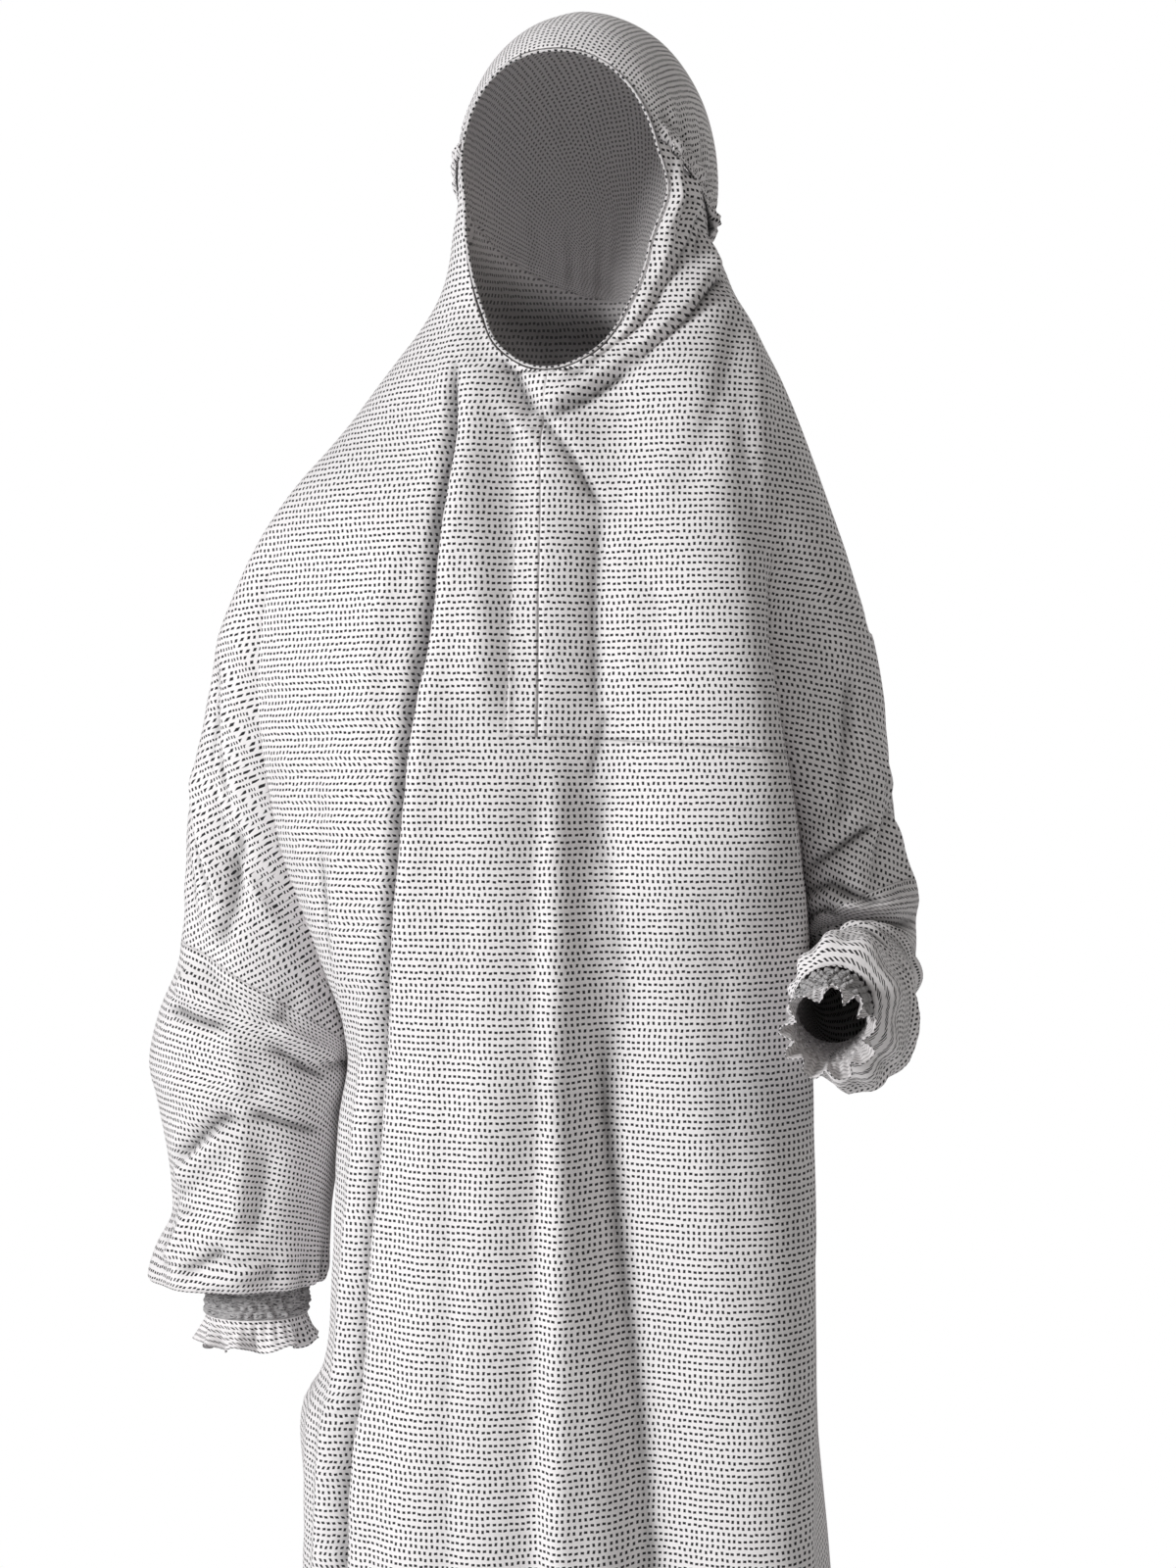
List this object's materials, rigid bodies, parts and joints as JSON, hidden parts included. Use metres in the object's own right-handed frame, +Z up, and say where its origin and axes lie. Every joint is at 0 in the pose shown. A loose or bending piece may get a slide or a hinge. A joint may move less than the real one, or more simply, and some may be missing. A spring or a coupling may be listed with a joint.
{
  "type": "jilbab",
  "caption": "Hooded batwing jilbab worn hollow, with open face, elastic smocked cuffs, a front slit and an ankle-length skirt.",
  "frame": {"origin": "crown of the head inside the hood, where the wearer's head holds the garment", "axes": "+Z up, the front faces -Y, +X is the wearer's left"},
  "size_m": [0.534, 0.3691, 1.6529],
  "materials": {
    "cloth": "pale grey-white soft woven viscose with a small near-black dash print"
  },
  "bodies": {
    "root": {"front_main": "cloth", "front_upper_left": "cloth", "back": "cloth", "front_placket": "cloth", "hood_crown": "cloth", "face_binding": "cloth", "tie_band_right": "cloth", "tie_band_left": "cloth", "sleeve_right": "cloth", "sleeve_left": "cloth", "cuff_right": "cloth", "cuff_left": "cloth", "frill_right": "cloth", "frill_left": "cloth"}
  },
  "joints": []
}
